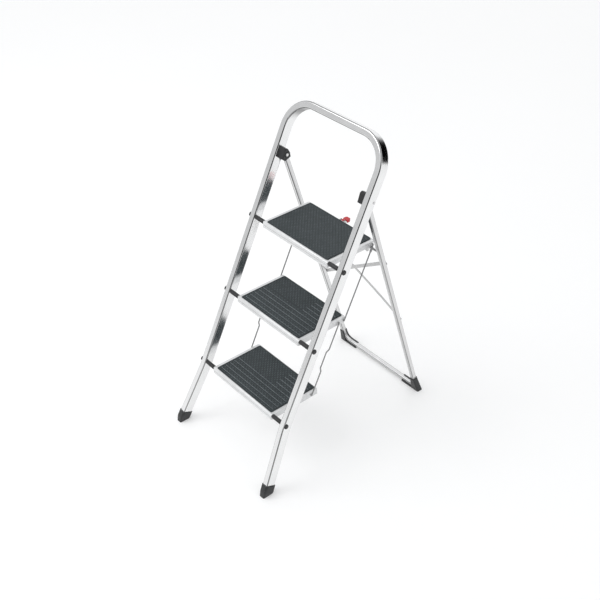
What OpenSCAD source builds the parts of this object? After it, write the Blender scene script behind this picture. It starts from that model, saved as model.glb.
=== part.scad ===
// Folding step stool: three treads hung in a one-piece hand-rail hoop, with a
// U-shaped rear frame.  Millimetres.  +Z is up, -Y is the climbing side and X
// runs across the treads.  The origin is on the floor, midway between the feet.

/* [Overall] */
// Rise from one tread to the next
step_rise = 230; // [222:1:236]
// Height of the lowest tread's hinge rod above the floor
first_hinge_z = 220; // [214:1:226]
// Lean of the front rails from upright, in degrees
rail_lean = 25.2; // [24:0.1:26]
// Lean of the rear legs from upright, in degrees
leg_lean = 18.5; // [18:0.1:19]
// Floor position of the hinge line, behind the climbing side
hinge_line_y = -360.8; // [-365:0.1:-355]

/* [Front hoop] */
// Clear width between the rails
rail_gap = 375; // [370:1:385]
// Width of the rail tube, across the stool
rail_w = 22; // [20:0.5:24]
// Depth of the rail tube, front to back
rail_d = 34; // [32:0.5:36]
// Corner radius of the rail tube
rail_r = 5; // [4:0.5:6]
// Wall of the rail tube
rail_wall = 1.5; // [1.2:0.1:2]
// Length of the hoop along its lean, floor to top
hoop_length = 1144; // [1120:1:1160]
// Outer radius of the hoop's top corners
hoop_corner_r = 100; // [80:1:110]
// Outward splay of the rails below the lowest tread, in degrees
rail_splay = 5.8; // [5:0.1:6.5]

/* [Treads] */
// Width of a tread tray
tray_w = 295; // [285:1:298]
// Depth of a tread tray behind its hinge rod
tray_depth = 181; // [176:1:184]
// Height of the tray's folded sides below the hinge rod
tray_drop = 14; // [13:0.5:14.5]
// Sheet thickness of the trays
sheet = 1.5; // [1.2:0.1:1.8]
// Width of a tread mat
mat_w = 273.5; // [260:0.5:280]
// Thickness of a tread mat
mat_t = 2.5; // [2:0.1:2.5]

/* [Hinge rods] */
// Radius of the tread hinge rods
rod_r = 3; // [2.5:0.1:3]
// Radius of the sleeves between tread and rail
spacer_r = 6.75; // [6:0.25:7.5]
// Radius of the end caps on the rails
cap_r = 7.7; // [7:0.1:8]

/* [Rear frame] */
// Clear width between the rear legs
leg_gap = 337; // [335:1:339]
// Width of the leg tube, across the stool
leg_w = 15.5; // [15:0.5:16]
// Depth of the leg tube, front to back
leg_d = 15; // [14:0.5:16]
// Length from the top hinge pin to the cross bar
leg_length = 899; // [895:1:903]
// Distance from the top hinge pin to the platform's support rod
support_drop = 222.7; // [221:0.1:224]
// Width of the two brace straps
strap_w = 12.5; // [10:0.5:16]

/* [Links] */
// Radius of the link wires
wire_r = 2; // [1.8:0.1:2]

/* [Hidden] */
$fn = 48;
play = 0.1;              // assembly gap round a fixed rod, pin or tube
running = 0.05;          // radial clearance of a turning joint
slack = 0.3;             // radial clearance at the loose lower end of a link

// Front hoop, in the rails' own frame: x across, y behind the hinge line,
// z up along the lean.
hinge_inset = 7.5;       // hinge line behind the rails' front face
rail_x = (rail_gap + rail_w) / 2;
rail_y = rail_d / 2 - hinge_inset;
corner_r = hoop_corner_r - rail_w / 2;
corner_x = rail_x - corner_r;
corner_z = hoop_length - hoop_corner_r;
splay_steps = 3;         // the bend is made of this many mitred turns
splay_pitch = 8;         // spacing of those turns
splay_z = 244;           // one pitch above the first turn
splay_end_z = splay_z - splay_steps * splay_pitch;
mitre_lap = 0.01;
rail_end = 18;           // rail ends this far up the lean, inside its foot
foot_top = 41;
foot_wall = 2.6;
front_pad_x = rail_x + 21.2;
front_pad_back = 12.5;
// A height along the lean, as a place down the splayed rail.
function splayed(z) = (z - splay_end_z) / cos(rail_splay);

// Hinge of each tread, counted 0, 1, 2 from the floor.
function hinge_z(k) = first_hinge_z + k * step_rise;
function hinge_y(k) = hinge_line_y + hinge_z(k) * tan(rail_lean);
function along(k) = hinge_z(k) / cos(rail_lean);

// Rear legs: the pin's place in the rails' frame, and the leg centre lines.
pin_up = 964.5;
pin_back = 18;
pin_r = 4;
leg_r = 3;
leg_wall = 1.2;
leg_x = (leg_gap + leg_w) / 2;
leg_bend_r = 28;
screw_turn = 30;         // foot screws sit this far round the bend
strap_t = 1.8;
strap_top = 273.5;       // brace ends, down the leg from the pin
strap_low = 535.5;

// Pivot housing, about the pin: x is behind the pin, y is up the rail.
housing_outline = [[-19, 12], [-14, 18], [-4, 18], [9, 9], [17.5, -3.5], [1.5, -20.5], [-15, -17]];
housing_wall = 3;
housing_boss = 1;        // raised ring round the pin
housing_in = leg_gap / 2 - 0.9;
housing_out = leg_gap / 2 + leg_w + 0.7;

// Treads, about the hinge rod.
mat_top = 6.2;
mat_front = 1.2;
mat_back = 177.7;
tray_top = mat_top - mat_t;
nose_r = 7;
nose_z = -2;
tray_corner = 6;
bush_r = 4.15;
bush_face = tray_w / 2 + 0.7;
spacer_in = tray_w / 2 + 1.1;
cap_l = 4;

// Link wires: x place, and the holes they hook into, about the hinge rod.
link_x = 151.5;
upper_hole = [172, -6];
lower_hole = [152, -4];
ferrule_r = 3.5;
link_tip = 141;
clip_r = 4.4;

// Platform hook, support rod and latch, about the platform's hinge rod.
support_r = 4;
support_at = [pin_y() + support_drop * sin(leg_lean) - hinge_y(2),
              pin_z() - support_drop * cos(leg_lean) - hinge_z(2)];
exit_angle = 52.5;         // the rod leaves the hook forwards and down at this slope
hook_x = 136;
hook_t = 3;
latch_at = [191, -4];
latch_pin_r = 2.5;
cheek_in = 9.2;
cheek_out = 11.2;
latch_hub = 4.2;         // half width of the lever's hub
latch_base = 17;         // half width of the bracket's plate
rivet_hole_r = 1.6;

function pin_y() = hinge_line_y + pin_up * sin(rail_lean) + pin_back * cos(rail_lean);
function pin_z() = pin_up * cos(rail_lean) - pin_back * sin(rail_lean);

// ---- frames of reference and shared shapes ----

module in_rail() {
    translate([0, hinge_line_y, 0]) rotate([-rail_lean, 0, 0]) children();
}

module in_leg() {
    translate([0, pin_y(), pin_z()]) rotate([leg_lean, 0, 0]) children();
}

module at_tread(k) {
    translate([0, hinge_y(k), hinge_z(k)]) children();
}

// The right rail below turn i of the splay, z running up from the turn.
module below_turn(i) {
    if (i == 0)
        translate([rail_x, rail_y, splay_z]) children();
    else
        below_turn(i - 1) translate([0, 0, -splay_pitch])
            rotate([0, -rail_splay / splay_steps, 0]) children();
}

module both_sides() {
    children();
    mirror([1, 0, 0]) children();
}

module left_side() {
    mirror([1, 0, 0]) children();
}

// A cylinder along X from x0 to x1.
module rod_x(x0, x1, r) {
    translate([x0, 0, 0]) rotate([0, 90, 0]) cylinder(r = r, h = x1 - x0);
}

// A flat outline in the y-z plane, thickened along X from x0 to x1.
module slab_x(x0, x1) {
    translate([x0, 0, 0]) rotate([90, 0, 90]) linear_extrude(x1 - x0) children();
}

module round_rect(w, d, r) {
    square([w - 2 * r, d], center = true);
    square([w, d - 2 * r], center = true);
    for (x = [-1, 1], y = [-1, 1])
        translate([x * (w / 2 - r), y * (d / 2 - r)]) circle(r = r);
}

module tube_section(w, d, r, wall) {
    difference() {
        round_rect(w, d, r);
        round_rect(w - 2 * wall, d - 2 * wall, r - wall);
    }
}

module rail_section() {
    tube_section(rail_w, rail_d, rail_r, rail_wall);
}

module leg_section() {
    tube_section(leg_w, leg_d, leg_r, leg_wall);
}

// A domed rivet or screw head standing on the plane z = 0.
module dome_head(r, h) {
    cylinder(r = r, h = h / 2);
    translate([0, 0, h / 2]) cylinder(r1 = r, r2 = r * 0.65, h = h / 2);
}

// ---- front hoop ----

// Straight stretch of rail below turn i, mitred where it meets a turn.
module rail_stretch(i, up, down) {
    half = rail_splay / splay_steps / 2;
    big = 4 * rail_d;
    below_turn(i) difference() {
        translate([0, 0, -down]) linear_extrude(down + up) rail_section();
        if (i > 0)
            rotate([0, half, 0]) translate([-big / 2, -big / 2, mitre_lap]) cube(big);
        if (i < splay_steps)
            translate([0, 0, -splay_pitch]) rotate([0, -half, 0])
                translate([-big / 2, -big / 2, -big - mitre_lap]) cube(big);
    }
}

module rail_side() {
    spare = 3;
    rail_stretch(0, corner_z - splay_z, splay_pitch + spare);
    for (i = [1:splay_steps - 1]) rail_stretch(i, spare, splay_pitch + spare);
    rail_stretch(splay_steps, spare, -splayed(rail_end));
    translate([corner_x, rail_y, corner_z]) rotate([90, 0, 0])
        rotate_extrude(angle = 90, $fn = 96) translate([corner_r, 0]) rail_section();
}

module front_hoop() {
    color("gainsboro") in_rail() difference() {
        union() {
            both_sides() rail_side();
            translate([-corner_x, rail_y, hoop_length - rail_w / 2]) rotate([0, 90, 0])
                linear_extrude(2 * corner_x) rail_section();
        }
        both_sides() {
            for (k = [0:2]) translate([0, 0, along(k)]) rod_x(rail_gap / 2 - 1, rail_x + rail_w, rod_r + play);
            translate([0, pin_back, pin_up]) rod_x(rail_gap / 2 - 1, rail_x + rail_w, pin_r + play);
            housing_rivet_places() rod_x(rail_gap / 2 - 1, rail_x, 2.1);
        }
    }
}

// ---- front feet ----

module foot_outline(grow) {
    round_rect(rail_w + 2 * grow, rail_d + 2 * grow, rail_r + grow);
}

module front_foot() {
    in_rail() below_turn(splay_steps) difference() {
        translate([0, 0, splayed(rail_end)]) linear_extrude(splayed(foot_top) - splayed(rail_end))
            foot_outline(foot_wall);
        translate([0, 0, splayed(rail_end) - 1]) linear_extrude(foot_top) foot_outline(0.05);
    }
    hull() {
        in_rail() below_turn(splay_steps) translate([0, 0, splayed(rail_end) - 1])
            linear_extrude(1, $fn = 32) foot_outline(foot_wall);
        translate([front_pad_x, hinge_line_y + front_pad_back, 0]) linear_extrude(1, $fn = 32)
            round_rect(rail_w - 1.5, rail_d + 2, 4);
    }
}

module front_foot_right() {
    color("dimgray") front_foot();
}

module front_foot_left() {
    color("dimgray") left_side() front_foot();
}

// ---- pivot housings, pins and rivets ----

module housing_rivet_places() {
    for (at = [[-9, 13], [-9, -11]]) translate([0, pin_back + at[0], pin_up + at[1]]) children();
}

module housing_web() {
    intersection() {
        polygon(housing_outline);
        union() {
            translate([-40, 11]) square([80, 40]);
            translate([-40, -40]) square([30.5, 80]);
        }
    }
}

module pivot_housing() {
    in_rail() difference() {
        translate([0, pin_back, pin_up]) {
            slab_x(housing_in - housing_wall, housing_in) polygon(housing_outline);
            slab_x(housing_out, rail_gap / 2) polygon(housing_outline);
            slab_x(housing_in, housing_out) housing_web();
            rod_x(housing_in - housing_wall - housing_boss, housing_in - housing_wall, 7);
        }
        translate([0, pin_back, pin_up]) rod_x(housing_in - 10, rail_gap / 2 + 1, pin_r + play);
        housing_rivet_places() rod_x(housing_in - 10, rail_gap / 2 + 1, 2.1);
    }
}

module pivot_housing_right() {
    color("black") pivot_housing();
}

module pivot_housing_left() {
    color("black") left_side() pivot_housing();
}

module leg_hinge_pins() {
    color("silver") in_rail() both_sides() translate([0, pin_back, pin_up]) {
        rod_x(housing_in - housing_wall - housing_boss, rail_x + rail_w / 2 + 1.2, pin_r);
        translate([housing_in - housing_wall - housing_boss, 0, 0]) rotate([0, -90, 0]) dome_head(5.2, 1.4);
    }
}

module housing_rivets() {
    color("black") in_rail() both_sides() housing_rivet_places() {
        rod_x(housing_in - housing_wall, rail_gap / 2 + rail_wall + 1, 2);
        translate([housing_in - housing_wall, 0, 0]) rotate([0, -90, 0]) dome_head(3.6, 1.2);
        rod_x(rail_gap / 2 + rail_wall, rail_gap / 2 + rail_wall + 1, 3);
    }
}

// ---- hinge rods, spacers and end caps ----

module hinge_rod(k) {
    reach = rail_x + rail_w / 2 + cap_l - 1.5;
    color("silver") at_tread(k) rod_x(-reach, reach, rod_r);
}

module rod_spacers() {
    color("black") for (k = [0:2]) at_tread(k) both_sides() difference() {
        rod_x(spacer_in, rail_gap / 2, spacer_r);
        rod_x(spacer_in - 1, rail_gap / 2 + 1, rod_r + play);
    }
}

module end_cap() {
    face = rail_x + rail_w / 2;
    difference() {
        union() {
            rod_x(face, face + cap_l - 1.5, cap_r);
            translate([face + cap_l - 1.5, 0, 0]) rotate([0, 90, 0]) cylinder(r1 = cap_r, r2 = cap_r - 1.5, h = 1.5);
        }
        rod_x(face - 1, face + cap_l - 1.5, rod_r + play);
    }
}

module rod_end_caps() {
    color("black") for (k = [0:2]) at_tread(k) both_sides() end_cap();
}

// ---- treads ----

// Plan of the tray, inset by i.
module tray_plan(i) {
    front = -nose_r + i;
    back = tray_depth - i;
    translate([0, (front + back) / 2]) round_rect(tray_w - 2 * i, back - front, tray_corner - i);
}

// Side profile of the tray, inset by i, y behind the rod and z above it.
module tray_profile(i) {
    translate([0, nose_z]) circle(r = nose_r - i);
    translate([-nose_r + i, -tray_drop - 1]) square([2 * (nose_r - i), tray_drop + 1 + nose_z]);
    translate([0, -tray_drop - 1]) square([tray_depth + 1, tray_drop + 1 + tray_top - i]);
}

module tray_block(i) {
    intersection() {
        translate([0, 0, -tray_drop - 1]) linear_extrude(40) tray_plan(i);
        slab_x(-tray_w, tray_w) tray_profile(i);
    }
}

// Clearance of each tray's two link holes: a link turns in the hole it hangs
// from and is loose in the one below.
function upper_fit(k) = k == 2 ? running : slack;
function lower_fit(k) = k == 0 ? slack : running;

module tray(k) {
    hem = 7;
    color("whitesmoke") at_tread(k) difference() {
        union() {
            difference() {
                tray_block(0);
                tray_block(sheet);
            }
            // folded hem along both sides
            both_sides() translate([tray_w / 2 - hem, 12, -tray_drop])
                cube([hem - sheet / 2, tray_depth - 24, sheet]);
        }
        translate([-tray_w, -tray_w, -tray_drop - 10]) cube([2 * tray_w, 2 * tray_w, 10]);
        both_sides() {
            rod_x(tray_w / 2 - 4, tray_w / 2 + 1, bush_r + running);
            if (k > 0) wire_hole(upper_hole, upper_fit(k));
            if (k < 2) wire_hole(lower_hole, lower_fit(k));
            if (k == 2) hook_rivet_places() rod_x(tray_w / 2 - 4, tray_w / 2 + 1, 2.1);
        }
        if (k == 2) latch_rivet_places() rotate([90, 0, 0]) cylinder(r = rivet_hole_r, h = 20, center = true);
    }
}

module wire_hole(hole, fit) {
    translate([0, hole[0], hole[1]]) rod_x(tray_w / 2 - 4, tray_w / 2 + 1, wire_r + fit);
}

module mat(k) {
    depth = mat_back - mat_front;
    color("darkslategray") at_tread(k) difference() {
        translate([0, mat_front + depth / 2, tray_top]) linear_extrude(mat_t) round_rect(mat_w, depth, 3);
        translate([0, 0, nose_z]) rod_x(-tray_w / 2, tray_w / 2, nose_r);
    }
}

module bushes(k) {
    color("black") at_tread(k) both_sides() difference() {
        union() {
            rod_x(tray_w / 2 - sheet, tray_w / 2, bush_r);
            rod_x(tray_w / 2, bush_face, bush_r + 2.2);
        }
        rod_x(tray_w / 2 - 3, bush_face + 1, rod_r + running);
    }
}

// ---- rear frame ----

module leg_side() {
    foot_z = -leg_length + leg_bend_r;
    intersection() {
        translate([leg_x, 0, foot_z]) linear_extrude(leg_d / 2 - foot_z) leg_section();
        union() {
            rod_x(0, 2 * leg_x, leg_d / 2);
            translate([0, -leg_d, foot_z]) cube([2 * leg_x, 2 * leg_d, -foot_z]);
        }
    }
    translate([leg_x - leg_bend_r, 0, foot_z]) rotate([90, 0, 0]) rotate([0, 0, -90])
        rotate_extrude(angle = 90, $fn = 64) translate([leg_bend_r, 0]) leg_section();
}

module rear_frame_tube() {
    color("gainsboro") in_leg() difference() {
        union() {
            both_sides() leg_side();
            translate([leg_bend_r - leg_x, 0, -leg_length]) rotate([0, 90, 0])
                linear_extrude(2 * (leg_x - leg_bend_r)) leg_section();
        }
        both_sides() {
            rod_x(leg_gap / 2 - 1, leg_gap / 2 + leg_w + 1, pin_r + running);
            translate([0, 0, -support_drop]) rod_x(leg_gap / 2 - 1, leg_gap / 2 + leg_wall + 1, support_r + play);
            screw_places() rod_x(-1, leg_w + 1, rivet_hole_r);
            for (z = [strap_top, strap_low]) translate([leg_x, 0, -z]) rotate([-90, 0, 0])
                cylinder(r = 2.1, h = leg_d);
        }
    }
}

module support_rod() {
    reach = leg_gap / 2 + leg_w - leg_wall - 0.3;
    color("silver") in_leg() translate([0, 0, -support_drop]) rod_x(-reach, reach, support_r);
}

// Flat strap from one leg down to the other, on the legs' rear faces; bow is
// how far its middle stands off so that the two straps pass each other.
module brace_strap(bow) {
    half_run = leg_x;
    half_drop = (strap_low - strap_top) / 2;
    half_len = sqrt(half_run * half_run + half_drop * half_drop);
    slope = atan(half_drop / half_run);
    flat = 14;
    ramp = 90;
    back = leg_d / 2;
    inner = [[-half_len - flat / 2, back], [-half_len + flat, back], [-half_len + ramp, back + bow],
             [half_len - ramp, back + bow], [half_len - flat, back], [half_len + flat / 2, back]];
    outer = [for (i = [len(inner) - 1:-1:0]) inner[i] + [0, strap_t]];
    in_leg() translate([0, 0, -(strap_top + strap_low) / 2]) rotate([0, slope, 0]) difference() {
        translate([0, 0, -strap_w / 2]) linear_extrude(strap_w) polygon(concat(inner, outer));
        for (s = [-1, 1]) translate([s * half_len, 0, 0]) rotate([-90, 0, 0]) cylinder(r = 2.1, h = 3 * leg_d);
    }
}

module brace_strap_a() {
    color("silver") mirror([1, 0, 0]) brace_strap(0);
}

module brace_strap_b() {
    color("silver") brace_strap(strap_t + 0.2);
}

module brace_rivets() {
    color("silver") in_leg() both_sides() for (z = [strap_top, strap_low])
        translate([leg_x, leg_d / 2, -z]) rotate([-90, 0, 0]) {
            translate([0, 0, -4]) cylinder(r = 2, h = 4 + strap_t);
            translate([0, 0, strap_t]) dome_head(4.2, 1.8);
            translate([0, 0, -4]) cylinder(r = 3, h = 2.6);
        }
}

// ---- rear feet ----

module foot_sleeve(grow) {
    round_rect(leg_w + 2 * grow, leg_d + 2 * grow, leg_r + grow);
}

module corner_run(grow, up, out) {
    translate([leg_x, 0, leg_bend_r - leg_length]) linear_extrude(up) foot_sleeve(grow);
    translate([leg_x - leg_bend_r, 0, leg_bend_r - leg_length]) rotate([90, 0, 0]) rotate([0, 0, -90])
        rotate_extrude(angle = 90, $fn = 64) translate([leg_bend_r, 0]) foot_sleeve(grow);
    translate([leg_x - leg_bend_r - out, 0, -leg_length]) rotate([0, 90, 0]) linear_extrude(out)
        foot_sleeve(grow);
}

module rear_foot() {
    wall = 2.8;
    out = 30;
    up = 20;
    floor_y = pin_y() + leg_length * sin(leg_lean) + 3.4;
    pad_d = 23;
    toe_x = 196.5;
    difference() {
        union() {
            in_leg() corner_run(wall, up, out);
            // toe that reaches out to the floor
            hull() {
                in_leg() translate([leg_x + 1, 0, leg_bend_r - leg_length]) linear_extrude(up, $fn = 32)
                    round_rect(leg_w + 3.6, leg_d + 5, leg_r + 2);
                translate([(toe_x + 160) / 2, floor_y, 0]) linear_extrude(2, $fn = 32)
                    round_rect(toe_x - 160, pad_d, 5);
            }
            // pad under the bar
            translate([leg_x - leg_bend_r - out, floor_y - pad_d / 2, 0])
                cube([out + leg_bend_r, pad_d, 4]);
        }
        in_leg() corner_run(0.05, up + 1, out + 1);
        translate([0, 0, -20]) cube([500, 1000, 40], center = true);
        // the bar and the inside of the bend stay bare but for a lip behind them
        bare_x = leg_x - leg_bend_r - out - 1;
        in_leg() translate([bare_x, -leg_d, -leg_length - 1.5])
            cube([leg_gap / 2 - bare_x, leg_d + 4, leg_bend_r + up + 10]);
        in_leg() screw_places() rod_x(leg_w - 1, leg_w + 10, rivet_hole_r);
    }
}

module screw_places() {
    translate([leg_x - leg_bend_r, 0, leg_bend_r - leg_length]) rotate([0, screw_turn, 0])
        translate([leg_bend_r - leg_w / 2, 0, 0]) children();
}

module rear_foot_right() {
    color("dimgray") rear_foot();
}

module rear_foot_left() {
    color("dimgray") left_side() rear_foot();
}

module rear_foot_screws() {
    color("silver") in_leg() both_sides() screw_places() {
        rod_x(-0.3, leg_w + 8, 1.5);
        // the head stands on the hollow of the bend
        translate([-0.3, 0, 0]) rotate([0, -90, 0]) dome_head(3, 1.5);
    }
}

// ---- platform hooks over the support rod ----

module exit_slot() {
    seat = support_r + 0.6;
    half = support_r + 0.4;
    translate(support_at) {
        circle(r = seat);
        rotate(180 + exit_angle) translate([0, -half]) square([40, 2 * half]);
    }
}

module hook_plate() {
    foot = support_at[1];
    at_tread(2) difference() {
        slab_x(hook_x, hook_x + hook_t) difference() {
            polygon([[139, tray_top - sheet], [tray_depth - sheet, tray_top - sheet],
                     [tray_depth - sheet, -tray_drop - 0.5], [tray_depth + 5, -tray_drop - 4],
                     [tray_depth + 5, foot - 3], [tray_depth + 2, foot - 6.5], [160, foot - 6.5],
                     [143, -8]]);
            exit_slot();
        }
        hook_rivet_places() rod_x(hook_x - 1, hook_x + hook_t + 1, 2.1);
    }
}

module hook_plate_right() {
    color("silver") hook_plate();
}

module hook_plate_left() {
    color("silver") left_side() hook_plate();
}

module hook_rivets() {
    color("silver") at_tread(2) both_sides() hook_rivet_places() {
        rod_x(hook_x - 0.2, tray_w / 2 + 0.2, 2);
        translate([hook_x, 0, 0]) rotate([0, -90, 0]) dome_head(2.8, 1.2);
        rod_x(hook_x + hook_t, tray_w / 2 - sheet, 2.6);
        translate([tray_w / 2, 0, 0]) rotate([0, 90, 0]) dome_head(2.8, 1.2);
    }
}

// Rivets that hold each hook plate to the side of the tray, about the hinge rod.
module hook_rivet_places() {
    for (at = [[147, -1], [161, -1.5]]) translate([0, at[0], at[1]]) children();
}

// ---- latch ----

module latch_bracket() {
    color("silver") at_tread(2) difference() {
        union() {
            translate([-latch_base, tray_depth, -tray_drop + 1])
                cube([2 * latch_base, 2, tray_drop + 1]);
            both_sides() slab_x(cheek_in, cheek_out) union() {
                translate(latch_at) circle(r = 5);
                translate([tray_depth, latch_at[1] - 5]) square([latch_at[0] - tray_depth, 10]);
            }
        }
        translate([0, latch_at[0], latch_at[1]]) rod_x(-30, 30, latch_pin_r + play);
        latch_rivet_places() rotate([90, 0, 0]) cylinder(r = rivet_hole_r, h = 20, center = true);
    }
}

module latch_rivet_places() {
    for (s = [-1, 1]) translate([s * 14, tray_depth + 2, -6]) children();
}

module latch_rivets() {
    color("silver") at_tread(2) latch_rivet_places() rotate([90, 0, 0]) {
        cylinder(r = 1.5, h = 2 + sheet + 1);
        rotate([180, 0, 0]) dome_head(2.4, 1);
        translate([0, 0, 2 + sheet]) cylinder(r = 2.4, h = 1);
    }
}

module latch_pin() {
    color("silver") at_tread(2) translate([0, latch_at[0], latch_at[1]]) {
        rod_x(-cheek_out, cheek_out, latch_pin_r);
        both_sides() translate([cheek_out, 0, 0]) rotate([0, 90, 0]) dome_head(3.6, 1.2);
    }
}

// Return spring: close coils round the pin, beside the lever.
module latch_spring() {
    wire = 0.6;
    color("dimgray") at_tread(2) translate([0, latch_at[0], latch_at[1]])
        for (i = [0:2]) translate([latch_hub + 1.2 + 1.3 * i, 0, 0]) rotate([0, 90, 0])
            rotate_extrude() translate([4.1, 0]) circle(r = wire, $fn = 16);
}

module latch_lever() {
    tip = [support_at[0] + 0.8, support_at[1] - 7.2];
    color("firebrick") at_tread(2) difference() {
        union() {
            // hub and hook
            slab_x(-latch_hub, latch_hub) {
                translate(latch_at) circle(r = 5.4);
                polygon([[latch_at[0] - 5.4, latch_at[1]], [latch_at[0] + 3, latch_at[1]],
                         [latch_at[0] + 1, support_at[1] - 11], tip + [0, -3.8], tip,
                         [support_at[0] + 4.6, support_at[1] - 2], [latch_at[0] - 6, latch_at[1] - 9]]);
                // neck out to the thumb tab
                translate(latch_at) polygon([[0, -5], [12, -4.6], [12, 3], [0, 5]]);
            }
            thumb_tab();
        }
        translate([0, latch_at[0], latch_at[1]]) rod_x(-30, 30, latch_pin_r + running + 0.01);
    }
}

// Thumb tab: rounded in plan, thick where it leaves the hub and thin at its lip.
module thumb_tab() {
    half = 9.5;
    near = 8.6;
    far = 26;
    translate([0, latch_at[0], latch_at[1]]) intersection() {
        slab_x(-half, half) polygon([[near, -5], [near, 2.8], [near + 1.2, 3.8], [far - 3, 3.6], [far, 1.8],
                                     [far, 0], [19, -5.6], [near + 1.5, -6.2]]);
        translate([0, 0, -20]) linear_extrude(40) {
            translate([0, far - half]) circle(r = half);
            translate([-half, near]) square([2 * half, far - near - half]);
        }
    }
}

// ---- link wires ----

// Route of a link from its upper hole to the hole one tread below, as places
// in the rails' frame: [x behind, y up] from the upper hole.
link_span = step_rise / cos(rail_lean);
upper_route = [[0, 0], [0, -link_span]];
lower_route = [[0, 0], [0, -91], [-8, -102], [-8, -156], [0, -168], [0, -link_span]];

// Places the children in the rails' lean, at a tray's hole.
module at_hole(k, hole) {
    at_tread(k) translate([link_x, hole[0], hole[1]]) rotate([-rail_lean, 0, 0]) children();
}

module wire_piece(a, b) {
    run = b - a;
    translate([0, a[0], a[1]]) rotate([-atan2(run[0], run[1]), 0, 0]) cylinder(r = wire_r, h = norm(run));
}

module link_wire(k, hole, route) {
    at_hole(k, hole) {
        for (i = [0:len(route) - 2]) wire_piece(route[i], route[i + 1]);
        for (at = route) translate([0, at[0], at[1]]) sphere(r = wire_r);
        for (at = [route[0], route[len(route) - 1]])
            translate([0, at[0], at[1]]) rod_x(link_tip - link_x, 0, wire_r);
    }
}

module ferrule() {
    at_hole(2, upper_hole) translate([0, 0, -24]) difference() {
        union() {
            cylinder(r = ferrule_r, h = 15);
            translate([0, 0, 15]) cylinder(r1 = ferrule_r, r2 = ferrule_r - 0.8, h = 1.5);
        }
        translate([0, 0, -1]) cylinder(r = wire_r + 0.02, h = 20);
    }
}

module link_clips(k, hole) {
    for (end = [0, 1]) at_tread(k - end) translate([0, hole[0], hole[1]]) difference() {
        rod_x(142.6, 144.2, clip_r);
        rod_x(140, 147, wire_r + 0.02);
    }
}

// ---- what is drawn ----

front_hoop();
front_foot_left();
front_foot_right();
pivot_housing_left();
pivot_housing_right();
leg_hinge_pins();
housing_rivets();
hinge_rod(0);  // hinge_rod_lower
hinge_rod(1);  // hinge_rod_middle
hinge_rod(2);  // hinge_rod_upper
rod_spacers();
rod_end_caps();
tray(0);  // tray_lower
tray(1);  // tray_middle
tray(2);  // platform_tray
mat(0);  // mat_lower
mat(1);  // mat_middle
mat(2);  // platform_mat
bushes(0);  // bushes_lower
bushes(1);  // bushes_middle
bushes(2);  // bushes_platform
rear_frame_tube();
rear_foot_left();
rear_foot_right();
rear_foot_screws();
brace_strap_a();
brace_strap_b();
brace_rivets();
support_rod();
hook_plate_left();
hook_plate_right();
hook_rivets();
latch_bracket();
latch_rivets();
latch_pin();
latch_spring();
latch_lever();
color("silver") left_side() link_wire(2, upper_hole, upper_route);  // upper_link_left
color("silver") link_wire(2, upper_hole, upper_route);  // upper_link_right
color("silver") left_side() link_wire(1, lower_hole, lower_route);  // lower_link_left
color("silver") link_wire(1, lower_hole, lower_route);  // lower_link_right
color("dimgray") left_side() ferrule();  // ferrule_left
color("dimgray") ferrule();  // ferrule_right
color("silver") left_side() link_clips(2, upper_hole);  // clips_upper_left
color("silver") link_clips(2, upper_hole);  // clips_upper_right
color("silver") left_side() link_clips(1, lower_hole);  // clips_lower_left
color("silver") link_clips(1, lower_hole);  // clips_lower_right
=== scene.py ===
"""Looks of the folding step stool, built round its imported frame.
Metres; +Z is up, -Y is the climbing side and X runs across the treads."""
import math
import bpy
import bmesh
from mathutils import Matrix, Vector


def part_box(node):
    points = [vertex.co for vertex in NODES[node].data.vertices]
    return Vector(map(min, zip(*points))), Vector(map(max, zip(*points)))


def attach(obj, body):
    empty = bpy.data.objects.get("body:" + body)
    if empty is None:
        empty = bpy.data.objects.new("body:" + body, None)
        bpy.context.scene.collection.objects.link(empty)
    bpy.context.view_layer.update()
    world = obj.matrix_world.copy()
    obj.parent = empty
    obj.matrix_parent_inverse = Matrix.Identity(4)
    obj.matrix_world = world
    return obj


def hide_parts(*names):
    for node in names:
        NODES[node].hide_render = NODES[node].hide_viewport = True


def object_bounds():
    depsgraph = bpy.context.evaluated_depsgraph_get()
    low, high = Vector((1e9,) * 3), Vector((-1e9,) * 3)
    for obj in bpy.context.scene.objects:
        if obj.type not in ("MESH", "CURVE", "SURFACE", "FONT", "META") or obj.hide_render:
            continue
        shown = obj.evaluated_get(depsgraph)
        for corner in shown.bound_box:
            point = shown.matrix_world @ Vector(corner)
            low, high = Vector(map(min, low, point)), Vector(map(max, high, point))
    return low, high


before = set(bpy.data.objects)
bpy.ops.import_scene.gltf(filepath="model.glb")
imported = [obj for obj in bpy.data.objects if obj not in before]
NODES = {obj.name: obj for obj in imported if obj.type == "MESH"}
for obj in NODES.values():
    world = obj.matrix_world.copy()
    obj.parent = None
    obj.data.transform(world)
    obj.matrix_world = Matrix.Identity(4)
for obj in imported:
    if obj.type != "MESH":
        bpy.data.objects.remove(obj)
CAD_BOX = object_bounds()
MM = 0.001

# Tilt of the front rails and of the rear legs from upright, in degrees.
RAIL_LEAN = 25.2
LEG_LEAN = 18.5

# Camera: from the climber's right and above, aimed near the middle of the stool.
CAMERA_AZIMUTH = 49.45
CAMERA_ELEVATION = 36.28
CAMERA_DISTANCE = 2.875
CAMERA_TARGET = Vector((0.051, -0.067, 0.509))
CAMERA_LENS = 57.39


# ---- node helpers ----

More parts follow.
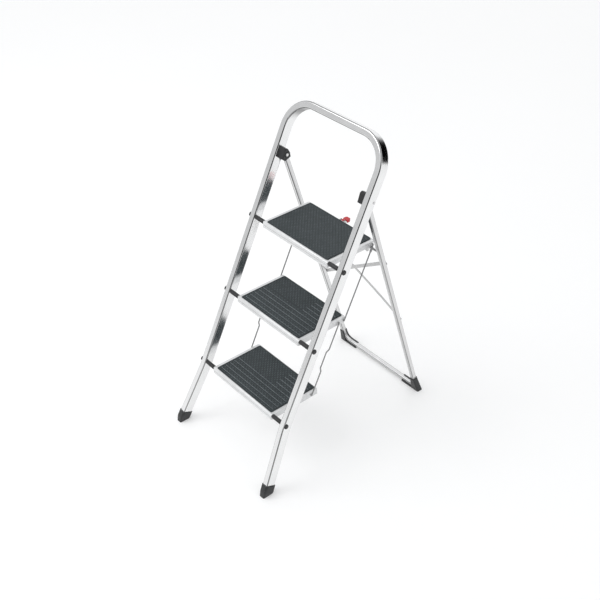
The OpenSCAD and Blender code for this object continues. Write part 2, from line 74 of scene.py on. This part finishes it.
class Shader:
    """A material with a Principled shader, and short calls that add nodes to it."""

    def __init__(self, name, **settings):
        self.material = bpy.data.materials.new(name)
        self.material.use_nodes = True
        self.tree = self.material.node_tree
        self.bsdf = self.tree.nodes["Principled BSDF"]
        for key, value in settings.items():
            self.set(key.replace("_", " "), value)

    def set(self, socket, value):
        if isinstance(value, bpy.types.NodeSocket):
            self.tree.links.new(value, self.bsdf.inputs[socket])
        else:
            self.bsdf.inputs[socket].default_value = value

    def node(self, kind, inputs=(), **settings):
        made = self.tree.nodes.new(kind)
        for key, value in settings.items():
            setattr(made, key, value)
        for i, value in enumerate(inputs):
            if isinstance(value, bpy.types.NodeSocket):
                self.tree.links.new(value, made.inputs[i])
            elif value is not None:
                made.inputs[i].default_value = value
        return made

    def math(self, operation, *inputs):
        return self.node("ShaderNodeMath", inputs, operation=operation).outputs[0]

    def place(self):
        """Place in the object's own coordinates, in metres."""
        return self.node("ShaderNodeTexCoord").outputs["Object"]

    def tilted(self, lean, vector=None):
        """Place, or another vector, in axes that lean about X: x, behind, along."""
        spun = self.node("ShaderNodeVectorRotate", rotation_type="X_AXIS")
        self.tree.links.new(vector or self.place(), spun.inputs["Vector"])
        spun.inputs["Angle"].default_value = math.radians(lean)
        return spun.outputs[0]

    def split(self, vector):
        return self.node("ShaderNodeSeparateXYZ", (vector,)).outputs

    def join(self, x, y, z):
        return self.node("ShaderNodeCombineXYZ", (x, y, z)).outputs[0]

    def noise(self, vector, scale, detail=2.0, roughness=0.5):
        made = self.node("ShaderNodeTexNoise")
        self.tree.links.new(vector, made.inputs["Vector"])
        made.inputs["Scale"].default_value = scale
        made.inputs["Detail"].default_value = detail
        made.inputs["Roughness"].default_value = roughness
        return made.outputs["Fac"]

    def span(self, value, low, high, out_low=0.0, out_high=1.0, smooth=False):
        """The value from low..high carried over to out_low..out_high."""
        made = self.node("ShaderNodeMapRange", (value, low, high, out_low, out_high))
        if smooth:
            made.interpolation_type = "SMOOTHSTEP"
        return made.outputs[0]

    def blend(self, factor, a, b):
        """Colour a where factor is 0 and b where it is 1."""
        made = self.node("ShaderNodeMix", data_type="RGBA")
        for socket, value in ((0, factor), (6, a), (7, b)):
            if isinstance(value, bpy.types.NodeSocket):
                self.tree.links.new(value, made.inputs[socket])
            else:
                made.inputs[socket].default_value = value
        return made.outputs[2]

    def bump(self, height, strength, distance):
        made = self.node("ShaderNodeBump")
        made.inputs["Strength"].default_value = strength
        made.inputs["Distance"].default_value = distance
        self.tree.links.new(height, made.inputs["Height"])
        self.set("Normal", made.outputs[0])


def grey(value, tint=0.0):
    """An opaque grey, a little bluer for a positive tint."""
    return (value * (1 - tint), value, value * (1 + tint), 1.0)


# ---- materials ----

LINE_STRETCH = 0.004            # how far the die lines are drawn out along a tube
BAND_STRETCH = 0.01
GROOVE_EDGE = (0.0003, 0.0008)  # distance from a groove's middle where its painted shade starts to fade, and ends
SHADE_AND_REFLECTION = grey(0.10)        # painted reflection on the corners, painted shade in the grooves and undersides
FLAT_SHADE = grey(0.2)           # painted shade, mixed faintly into the front flats


def drawn_tube(name, lean, core_x, core_along, sign, base, roughness, corner_reflection_tone, grooves=()):
    """Polished aluminium tube: die lines follow the bend of the hoop or U, whose
    inner core ends at core_x across and core_along up (sign 1) or down (-1)."""
    s = Shader(name, Metallic=1.0)
    x, behind, along = s.split(s.tilted(lean))[:3]
    # distance out from the core: straight along the tube's legs, round in its bends
    across = s.math("MAXIMUM", s.math("SUBTRACT", s.math("ABSOLUTE", x), core_x), 0.0)
    past_end = s.math("MULTIPLY", s.math("SUBTRACT", along, core_along), sign)
    beyond = s.math("MAXIMUM", past_end, 0.0)
    out = s.math("SQRT", s.math("ADD", s.math("MULTIPLY", across, across),
                                s.math("MULTIPLY", beyond, beyond)))
    lines = s.noise(s.join(out, behind, s.math("MULTIPLY", along, LINE_STRETCH)), 900, 3.0, 0.65)
    bands = s.noise(s.join(out, behind, s.math("MULTIPLY", along, BAND_STRETCH)), 160, 2.0)
    marks = s.noise(s.place(), 14, 4.0, 0.6)
    scuffs = s.noise(s.place(), 260, 2.0)
    # painted reflection: the rounded corners are darkened in the colour as if they mirrored the
    # darker surroundings: 1 where the surface faces halfway between front and side, 0 on the flats
    turned = s.split(s.tilted(lean, s.node("ShaderNodeTexCoord").outputs["Normal"]))
    facing = turned[1]
    square = s.math("MULTIPLY", facing, facing)
    corner = s.math("MULTIPLY", s.math("MULTIPLY", square, s.math("SUBTRACT", 1.0, square)), 4.0)
    bright = s.blend(s.span(s.math("ADD", lines, marks), 0.75, 1.25),
                     grey(base * 0.93), grey(base))
    # painted shade: the flats that face the climber are drawn a little duller than the sides
    shaded_polish = s.blend(s.span(facing, -0.95, -0.6, 0.14, 0.0), bright, FLAT_SHADE)
    # painted reflection: the corner mask darkens the colour on the rounded corners
    painted_dark = s.span(corner, 0.25, 0.85, 0.0, corner_reflection_tone, True)
    # painted shade: the underside of a bend is painted as dark as the corners
    painted_dark = s.math("MAXIMUM", painted_dark, s.span(turned[2], -0.85, -0.3, 0.85, 0.0, True))
    # painted shade of rolled grooves along the front and back faces, each at its own distance from
    # the middle
    for groove in grooves:
        off = s.math("ABSOLUTE", s.math("SUBTRACT", s.math("ABSOLUTE", x), groove))
        line = s.math("MULTIPLY", s.span(off, *GROOVE_EDGE, 0.6, 0.0, True), square)
        painted_dark = s.math("MAXIMUM", painted_dark, line)
    # the base colour carries the painted reflection and the painted shade
    s.set("Base Color", s.blend(painted_dark, shaded_polish, SHADE_AND_REFLECTION))
    rough = s.math("ADD", s.span(bands, 0.3, 0.7, roughness * 0.75, roughness * 1.3),
                   s.span(marks, 0.45, 0.75, 0.0, 0.06))
    s.set("Roughness", s.math("ADD", rough, s.span(scuffs, 0.62, 0.8, 0.0, 0.08)))
    s.bump(s.math("ADD", lines, s.math("MULTIPLY", bands, 1.6)), 0.16, 0.0004)
    return s.material


def tread_paint():
    s = Shader("tread_paint", Metallic=0.25)
    peel = s.noise(s.place(), 900, 2.0)
    cloud = s.noise(s.place(), 9, 4.0, 0.6)
    dust = s.noise(s.place(), 55, 5.0, 0.7)
    s.set("Base Color", s.blend(s.span(s.math("ADD", cloud, dust), 0.8, 1.25),
                                grey(0.70, 0.004), grey(0.79, 0.006)))
    s.set("Roughness", s.span(dust, 0.3, 0.75, 0.26, 0.42))
    s.set("Coat Weight", 0.25)
    s.set("Coat Roughness", 0.2)
    s.bump(peel, 0.12, 0.0003)
    return s.material


def mat_rubber():
    s = Shader("mat_rubber")
    grain = s.noise(s.place(), 1500, 2.0)
    cloud = s.noise(s.place(), 16, 4.0, 0.6)
    dust = s.noise(s.place(), 120, 4.0, 0.7)
    tone = s.blend(s.span(cloud, 0.3, 0.7), (0.018, 0.026, 0.029, 1), (0.028, 0.037, 0.041, 1))
    dusty = (0.06, 0.072, 0.076, 1)
    s.set("Base Color", s.blend(s.span(dust, 0.58, 0.78, 0.0, 0.35), tone, dusty))
    s.set("Roughness", s.span(dust, 0.3, 0.7, 0.55, 0.7))
    s.set("Specular IOR Level", 0.35)
    s.set("Sheen Weight", 0.08)
    s.bump(grain, 0.25, 0.0003)
    return s.material


def stud_rubber():
    s = Shader("stud_rubber", Roughness=0.5)
    wear = s.noise(s.place(), 42, 4.0, 0.7)
    grain = s.noise(s.place(), 1300, 2.0)
    s.set("Base Color", s.blend(s.span(wear, 0.38, 0.62),
                                (0.034, 0.045, 0.050, 1), (0.070, 0.085, 0.091, 1)))
    s.set("Specular IOR Level", 0.4)
    s.bump(grain, 0.2, 0.0002)
    return s.material


def rib_rubber():
    s = Shader("rib_rubber")
    wear = s.noise(s.place(), 70, 4.0, 0.7)
    grain = s.noise(s.place(), 1200, 2.0)
    s.set("Base Color", s.blend(s.span(wear, 0.35, 0.65),
                                (0.11, 0.13, 0.14, 1), (0.24, 0.27, 0.28, 1)))
    s.set("Roughness", s.span(wear, 0.3, 0.7, 0.4, 0.55))
    s.bump(grain, 0.15, 0.0002)
    return s.material


def moulded(name, colour, worn, roughness, grain_scale, grain_depth):
    """Moulded plastic: fine leather-like grain, slight clouding and worn specks."""
    s = Shader(name)
    cells = s.node("ShaderNodeTexVoronoi")
    s.tree.links.new(s.place(), cells.inputs["Vector"])
    cells.inputs["Scale"].default_value = grain_scale
    cloud = s.noise(s.place(), 30, 4.0, 0.6)
    specks = s.noise(s.place(), 300, 3.0, 0.6)
    tone = s.blend(s.span(cloud, 0.3, 0.7), colour, [c * 1.35 for c in colour[:3]] + [1])
    s.set("Base Color", s.blend(s.span(specks, 0.62, 0.8, 0.0, 0.6), tone, worn))
    s.set("Roughness", s.span(cloud, 0.3, 0.7, roughness * 0.85, roughness * 1.15))
    height = s.math("ADD", cells.outputs["Distance"], s.math("MULTIPLY", specks, 0.5))
    s.bump(height, 0.3, grain_depth)
    return s.material


def plated_steel(name, base, roughness, brush):
    """Zinc-plated steel: faint crystals, drawing lines along X and tiny pits."""
    s = Shader(name, Metallic=1.0)
    x, y, z = s.split(s.place())[:3]
    drawn = s.noise(s.join(s.math("MULTIPLY", x, brush), y, z), 1400, 2.0)
    crystals = s.node("ShaderNodeTexVoronoi")
    s.tree.links.new(s.place(), crystals.inputs["Vector"])
    crystals.inputs["Scale"].default_value = 420
    tint = s.noise(s.place(), 24, 3.0)
    s.set("Base Color", s.blend(s.span(s.math("ADD", crystals.outputs["Distance"], tint), 0.5, 1.3),
                                grey(base * 0.86, 0.01), grey(base, -0.008)))
    s.set("Roughness", s.span(drawn, 0.3, 0.7, roughness * 0.8, roughness * 1.25))
    s.bump(drawn, 0.12, 0.0002)
    return s.material


def floor_paint():
    s = Shader("floor_paint", Roughness=0.75, Emission_Strength=0.3)
    cloud = s.noise(s.place(), 1.5, 4.0, 0.6)
    s.set("Base Color", s.blend(cloud, grey(0.72), grey(0.74)))
    s.set("Specular IOR Level", 0.2)
    s.set("Emission Color", (1, 1, 1, 1))
    return s.material


RAIL_ALUMINIUM = drawn_tube("rail_aluminium", RAIL_LEAN, core_x=0.1095, core_along=0.890, sign=1,
                            base=0.90, roughness=0.15, corner_reflection_tone=0.8)
LEG_ALUMINIUM = drawn_tube("leg_aluminium", -LEG_LEAN, core_x=0.148, core_along=0.05, sign=-1,
                           base=0.76, roughness=0.3, corner_reflection_tone=0.75, grooves=(0.1806, 0.1775))
TREAD_PAINT = tread_paint()
MAT_RUBBER = mat_rubber()
RIB_RUBBER = rib_rubber()
STUD_RUBBER = stud_rubber()
FOOT_RUBBER = moulded("foot_rubber", (0.017, 0.018, 0.019, 1), (0.06, 0.06, 0.06, 1),
                      roughness=0.45, grain_scale=900, grain_depth=0.0002)
BLACK_PLASTIC = moulded("black_plastic", (0.009, 0.009, 0.010, 1), (0.035, 0.035, 0.035, 1),
                        roughness=0.38, grain_scale=1300, grain_depth=0.00012)
FERRULE_PLASTIC = moulded("ferrule_plastic", (0.26, 0.26, 0.265, 1), (0.36, 0.36, 0.36, 1),
                          roughness=0.4, grain_scale=1300, grain_depth=0.0001)
LATCH_RED = moulded("latch_red", (0.40, 0.008, 0.014, 1), (0.52, 0.04, 0.04, 1),
                    roughness=0.25, grain_scale=1500, grain_depth=0.00008)
BLACK_METAL = moulded("black_metal", (0.02, 0.02, 0.022, 1), (0.09, 0.09, 0.09, 1),
                      roughness=0.32, grain_scale=2200, grain_depth=0.00006)
STEEL = plated_steel("zinc_steel", base=0.72, roughness=0.26, brush=0.03)
STRAP_STEEL = plated_steel("strap_steel", base=0.56, roughness=0.34, brush=0.03)
WIRE_STEEL = plated_steel("wire_steel", base=0.32, roughness=0.32, brush=1.0)
SPRING_STEEL = plated_steel("spring_steel", base=0.42, roughness=0.28, brush=1.0)

NODE_MATERIALS = {
    RAIL_ALUMINIUM: ["front_hoop"],
    LEG_ALUMINIUM: ["rear_frame_tube"],
    TREAD_PAINT: ["tray_lower", "tray_middle", "platform_tray"],
    MAT_RUBBER: ["mat_lower", "mat_middle", "platform_mat"],
    FOOT_RUBBER: ["front_foot_left", "front_foot_right", "rear_foot_left", "rear_foot_right"],
    BLACK_PLASTIC: ["pivot_housing_left", "pivot_housing_right", "rod_spacers",
                    "rod_end_caps", "bushes_lower", "bushes_middle", "bushes_platform"],
    FERRULE_PLASTIC: ["ferrule_left", "ferrule_right"],
    LATCH_RED: ["latch_lever"],
    BLACK_METAL: ["housing_rivets"],
    STEEL: ["leg_hinge_pins", "latch_bracket", "hinge_rod_lower", "hinge_rod_middle",
            "hinge_rod_upper", "rear_foot_screws", "brace_rivets", "support_rod",
            "hook_plate_left", "hook_plate_right", "hook_rivets", "latch_rivets", "latch_pin"],
    STRAP_STEEL: ["brace_strap_a", "brace_strap_b"],
    WIRE_STEEL: ["upper_link_left", "upper_link_right", "lower_link_left", "lower_link_right",
                 "clips_upper_left", "clips_upper_right", "clips_lower_left", "clips_lower_right"],
    SPRING_STEEL: ["latch_spring"],
}


def dress(obj, material):
    obj.data.materials.clear()
    obj.data.materials.append(material)


for material, names in NODE_MATERIALS.items():
    for name in names:
        dress(NODES[name], material)


# ---- mesh helpers ----

def add_mesh(name, verts, faces, material, body, slot, smooth=True):
    data = bpy.data.meshes.new(name)
    data.from_pydata(verts, [], faces)
    data.update()
    obj = bpy.data.objects.new(name, data)
    bpy.context.scene.collection.objects.link(obj)
    dress(obj, material)
    if smooth:
        data.shade_smooth()
    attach(obj, body)
    return obj


def round_outline(half_x, half_y, radius):
    """A rounded rectangle round the origin, counter-clockwise."""
    steps = 6
    points = []
    for quarter, (sx, sy) in enumerate(((1, 1), (-1, 1), (-1, -1), (1, -1))):
        for i in range(steps + 1):
            turn = math.radians(90 * (quarter + i / steps))
            points.append((sx * (half_x - radius) + radius * math.cos(turn),
                           sy * (half_y - radius) + radius * math.sin(turn)))
    return points


def stack_rings(rings):
    """Vertices and faces of a closed form from rings of equal length, bottom to top."""
    n = len(rings[0])
    verts = [p for ring in rings for p in ring]
    faces = [(a * n + i, a * n + (i + 1) % n, (a + 1) * n + (i + 1) % n, (a + 1) * n + i)
             for a in range(len(rings) - 1) for i in range(n)]
    faces.append(tuple(reversed(range(n))))
    faces.append(tuple(range((len(rings) - 1) * n, len(rings) * n)))
    return verts, faces


# ---- tread mats ----

MAT_RIM = 3.2 * MM          # smooth rim round the field
MAT_CORNER = 6 * MM
FIELD_DROP = 0.7 * MM       # how far the field lies below the rim
STUD_PITCH = (12.6 * MM, 5.8 * MM)
STUD_SIZE = (4.9 * MM, 2.1 * MM)
STUD_TOP = 0.55             # size of a stud's top face over its foot
RIB_PITCH = 17.5 * MM
RIB_HALF = 0.75 * MM
RIB_FIRST = 0.6             # place of the first rib behind the rim, in pitches
RIB_CLEAR = 2.2 * MM        # studs keep this far from a rib's middle
RIB_TIP = 0.2               # size of a rib's section at its two tips
FULL_RIBS = 0.5             # share of the rib rows, from the front, that run right across
SHORT_RIB_START = 0.3       # where the other rows start, as a share of the half width
SHARP_ANGLE = math.radians(35)


def mat_sheet(name, node, body):
    lo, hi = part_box(node)
    centre = (lo + hi) / 2
    half = (hi - lo) / 2
    # inset of each ring, and its height below the rim's top
    profile = [(0, hi.z - lo.z), (0, 0.5 * MM), (0.15 * MM, 0.15 * MM), (0.5 * MM, 0),
               (MAT_RIM - 0.5 * MM, 0), (MAT_RIM, FIELD_DROP)]
    rings = []
    for inset, drop in profile:
        outline = round_outline(half.x - inset, half.y - inset, max(MAT_CORNER - inset, 0.4 * MM))
        rings.append([(centre.x + x, centre.y + y, hi.z - drop) for x, y in outline])
    sheet = add_mesh(name, *stack_rings(rings), MAT_RUBBER, body, "mat_rubber")
    bevel_shade(sheet)
    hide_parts(node)


def bevel_shade(obj):
    """Smooth shading that keeps the sharp edges sharp."""
    mesh = bmesh.new()
    mesh.from_mesh(obj.data)
    for edge in mesh.edges:
        edge.smooth = len(edge.link_faces) == 2 and edge.calc_face_angle(0) < SHARP_ANGLE
    mesh.to_mesh(obj.data)
    mesh.free()


def rib_ends(half_x, row, rows):
    """Where a rib starts and ends across the mat: rear rows run on the right part only."""
    if row < rows * FULL_RIBS:
        return -half_x, half_x
    return half_x * SHORT_RIB_START, half_x


def mat_ribs(name, node, body):
    """Low rounded ribs that run across the mat."""
    lo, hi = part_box(node)
    half_x = (hi.x - lo.x) / 2 - MAT_RIM - 2.5 * MM
    base = hi.z - FIELD_DROP - 0.1 * MM
    rows = int((hi.y - lo.y - 2 * MAT_RIM) / RIB_PITCH)
    verts, faces = [], []
    section = [(RIB_HALF * math.cos(math.radians(a)), (hi.z - base) * math.sin(math.radians(a)))
               for a in range(0, 181, 30)]
    n = len(section)
    for row in range(rows):
        y = lo.y + MAT_RIM + RIB_PITCH * (row + RIB_FIRST)
        x0, x1 = rib_ends(half_x, row, rows)
        stations = [(x0, RIB_TIP), (x0 + RIB_HALF, 1), (x1 - RIB_HALF, 1), (x1, RIB_TIP)]
        first = len(verts)
        for x, size in stations:
            verts += [(x, y + size * dy, base + size * dz) for dy, dz in section]
        for a in range(len(stations) - 1):
            for i in range(n - 1):
                k = first + a * n + i
                faces.append((k, k + n, k + n + 1, k + 1))
            k = first + a * n
            faces.append((k + n - 1, k + 2 * n - 1, k + n, k))
        faces.append(tuple(first + i for i in range(n)))
        faces.append(tuple(first + (len(stations) - 1) * n + i for i in reversed(range(n))))
    add_mesh(name, verts, faces, RIB_RUBBER, body, "mat_rubber")


def mat_studs(name, node, body, skip_ribs):
    """Field of small lozenges between the ribs."""
    lo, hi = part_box(node)
    base = hi.z - FIELD_DROP - 0.05 * MM
    top = hi.z - 0.12 * MM
    x_end = (hi.x - lo.x) / 2 - MAT_RIM - 3 * MM
    y0, y1 = lo.y + MAT_RIM + 3 * MM, hi.y - MAT_RIM - 3 * MM
    verts, faces = [], []
    row = 0
    y = y0
    while y <= y1:
        x = -x_end + (row % 2) * STUD_PITCH[0] / 2
        off_rib = ((y - lo.y - MAT_RIM) / RIB_PITCH - RIB_FIRST + 0.5) % 1 - 0.5
        near_rib = abs(off_rib) * RIB_PITCH < RIB_CLEAR
        while x <= x_end and not (skip_ribs and near_rib):
            first = len(verts)
            for size, z in ((1.0, base), (STUD_TOP, top)):
                verts += [(x + size * STUD_SIZE[0], y, z), (x, y + size * STUD_SIZE[1], z),
                          (x - size * STUD_SIZE[0], y, z), (x, y - size * STUD_SIZE[1], z)]
            for i in range(4):
                j = (i + 1) % 4
                faces.append((first + i, first + j, first + 4 + j, first + 4 + i))
            faces.append(tuple(first + 4 + i for i in range(4)))
            faces.append(tuple(first + 3 - i for i in range(4)))
            x += STUD_PITCH[0]
        y += STUD_PITCH[1]
        row += 1
    add_mesh(name, verts, faces, STUD_RUBBER, body, "mat_rubber", smooth=False)


MATS = {"lower": ("mat_lower", "lower_step"), "middle": ("mat_middle", "middle_step"),
        "platform": ("platform_mat", "platform")}
for which, (node, body) in MATS.items():
    mat_sheet(f"Mat_sheet_{which}", node, body)
    if which != "platform":
        mat_ribs(f"Mat_ribs_{which}", node, body)
    mat_studs(f"Mat_studs_{which}", node, body, which != "platform")


# ---- tubes along a path ----

def tube(name, points, radius, material, body):
    curve = bpy.data.curves.new(name, "CURVE")
    curve.dimensions = "3D"
    curve.bevel_depth = radius
    curve.bevel_resolution = 6
    curve.use_fill_caps = True
    spline = curve.splines.new("POLY")
    spline.points.add(len(points) - 1)
    for target, p in zip(spline.points, points):
        target.co = (*p, 1)
    obj = bpy.data.objects.new(name, curve)
    bpy.context.scene.collection.objects.link(obj)
    obj.data.materials.append(material)
    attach(obj, body)
    return obj


# ---- latch spring ----

def latch_spring():
    lo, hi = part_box("latch_spring")
    centre = (lo + hi) / 2
    wire = 0.55 * MM
    radius = (hi.z - lo.z) / 2 - wire
    turns = 3
    steps = 20
    length = hi.x - lo.x - 2 * wire
    points = []
    for i in range(turns * steps + 1):
        turn = 2 * math.pi * i / steps
        points.append((lo.x + wire + length * i / (turns * steps),
                       centre.y + radius * math.cos(turn), centre.z + radius * math.sin(turn)))
    spring = tube("Latch_spring_coil", points, wire, SPRING_STEEL, "platform")
    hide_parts("latch_spring")


latch_spring()


# ---- softened edges on the carried-over nodes ----

def soften(node, width):
    """Rounds a node's sharp edges with modifiers; the mesh itself is left as it is."""
    obj = NODES[node]
    weld = obj.modifiers.new("weld", "WELD")
    weld.merge_threshold = 0.01 * MM
    bevel = obj.modifiers.new("bevel", "BEVEL")
    bevel.width = width
    bevel.segments = 2
    bevel.limit_method = "ANGLE"
    bevel.angle_limit = math.radians(30)
    bevel.harden_normals = True


# width of each node's rounding, in mm
SOFTENED = {
    "front_foot_left": 0.3, "front_foot_right": 0.3, "rear_foot_left": 0.3, "rear_foot_right": 0.3,
    "pivot_housing_left": 0.7, "pivot_housing_right": 0.7, "latch_lever": 0.7,
    "latch_bracket": 0.3, "rod_spacers": 0.4, "rod_end_caps": 0.4,
    "hook_plate_left": 0.3, "hook_plate_right": 0.3, "brace_strap_a": 0.3, "brace_strap_b": 0.3,
    "tray_lower": 0.4, "tray_middle": 0.4, "platform_tray": 0.4,
}
for node, width in SOFTENED.items():
    soften(node, width * MM)


# ---- rolled edge along the front of each tray ----

def seam_shade_paint():
    s = Shader("seam_shade_paint", Metallic=0.3, Roughness=0.45)
    dust = s.noise(s.place(), 80, 4.0, 0.6)
    # painted shade: the bead is grey, far darker than the tray's paint, for the shade in the fold
    s.set("Base Color", s.blend(s.span(dust, 0.35, 0.65), grey(0.30), grey(0.42)))
    s.bump(s.noise(s.place(), 900, 2.0), 0.1, 0.0002)
    return s.material


SEAM_SHADE_PAINT = seam_shade_paint()
SEAM_RADIUS = 0.5 * MM
SEAM_DROP = 9.8 * MM        # below the tray's top
SEAM_BEND = 5.5 * MM        # how it curves back at the tray's corners
SEAM_END = 6.5 * MM         # from the tray's side to where the curve starts
SEAM_SQUEEZE = 0.95         # the curve's width over its depth


def tray_seam(which, node, body):
    """The line where the front face is folded under the rolled nose."""
    lo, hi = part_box(node)
    end = hi.x - SEAM_END
    y = lo.y + 0.1 * MM
    z = hi.z - SEAM_DROP
    points = [(-end - SEAM_BEND * math.sin(turn) * SEAM_SQUEEZE,
               y + SEAM_BEND * (1 - math.cos(turn)), z)
              for turn in (math.radians(50), math.radians(25), 0)]
    points += [(-p[0], p[1], p[2]) for p in reversed(points)]
    # the bead gives the fold its shape; its grey colour is painted shade of the fold
    tube(f"Tray_seam_{which}", points, SEAM_RADIUS, SEAM_SHADE_PAINT, body)


TRAYS = {"lower": ("tray_lower", "lower_step"), "middle": ("tray_middle", "middle_step"),
         "platform": ("platform_tray", "platform")}
for which, (node, body) in TRAYS.items():
    tray_seam(which, node, body)


# ---- floor, light and camera ----

FLOOR_HALF = 9.0

# direction of each dim end of the studio, cosines where it starts and is darkest, and how dark
DIM_ENDS = [((0.73, -0.68, 0.0), 0.72, 0.93, 0.9), ((0.31, 0.92, 0.25), 0.75, 0.95, 1.0),
            ((-0.61, -0.79, 0.03), 0.70, 0.98, 0.28)]


def make_floor():
    data = bpy.data.meshes.new("Floor")
    corners = [(x * FLOOR_HALF, y * FLOOR_HALF, 0) for x, y in ((-1, -1), (1, -1), (1, 1), (-1, 1))]
    data.from_pydata(corners, [], [(0, 1, 2, 3)])
    floor = bpy.data.objects.new("Floor", data)
    bpy.context.scene.collection.objects.link(floor)
    floor.location.z = CAD_BOX[0].z
    dress(floor, floor_paint())


def add_light(name, location, aim, energy, size):
    data = bpy.data.lights.new(name, "AREA")
    data.energy = energy
    data.shape = "DISK"
    data.size = size
    light = bpy.data.objects.new(name, data)
    light.location = location
    light.rotation_euler = (Vector(aim) - Vector(location)).to_track_quat("-Z", "Y").to_euler()
    bpy.context.scene.collection.objects.link(light)


def make_world():
    """A pale studio round the stool, with dim ends where its edges reflect it."""
    world = bpy.data.worlds.new("Studio")
    world.use_nodes = True
    bpy.context.scene.world = world
    tree = world.node_tree
    background = tree.nodes["Background"]
    coord = tree.nodes.new("ShaderNodeTexCoord")
    level = None
    for direction, start, full, depth in DIM_ENDS:
        dot = tree.nodes.new("ShaderNodeVectorMath")
        dot.operation = "DOT_PRODUCT"
        dot.inputs[1].default_value = Vector(direction).normalized()
        tree.links.new(coord.outputs["Generated"], dot.inputs[0])
        dim = tree.nodes.new("ShaderNodeMapRange")
        dim.interpolation_type = "SMOOTHSTEP"
        for i, value in enumerate((start, full, 1.0, 1.0 - depth)):
            dim.inputs[i + 1].default_value = value
        tree.links.new(dot.outputs["Value"], dim.inputs[0])
        if level is None:
            level = dim.outputs[0]
        else:
            both = tree.nodes.new("ShaderNodeMath")
            both.operation = "MULTIPLY"
            tree.links.new(level, both.inputs[0])
            tree.links.new(dim.outputs[0], both.inputs[1])
            level = both.outputs[0]
    tree.links.new(level, background.inputs["Strength"])
    background.inputs["Color"].default_value = (0.98, 0.99, 1.0, 1)


def make_camera():
    azimuth = math.radians(CAMERA_AZIMUTH)
    elevation = math.radians(CAMERA_ELEVATION)
    back = Vector((math.sin(azimuth) * math.cos(elevation),
                   -math.cos(azimuth) * math.cos(elevation), math.sin(elevation)))
    data = bpy.data.cameras.new("Camera")
    data.lens = CAMERA_LENS
    camera = bpy.data.objects.new("Camera", data)
    camera.location = CAMERA_TARGET + back * CAMERA_DISTANCE
    camera.rotation_euler = (-back).to_track_quat("-Z", "Y").to_euler()
    bpy.context.scene.collection.objects.link(camera)
    bpy.context.scene.camera = camera


make_floor()
make_world()
add_light("Key", location=(-1.6, -2.2, 3.4), aim=(0, 0, 0.4), energy=40, size=2.6)
make_camera()
bpy.context.scene.view_settings.view_transform = "Standard"
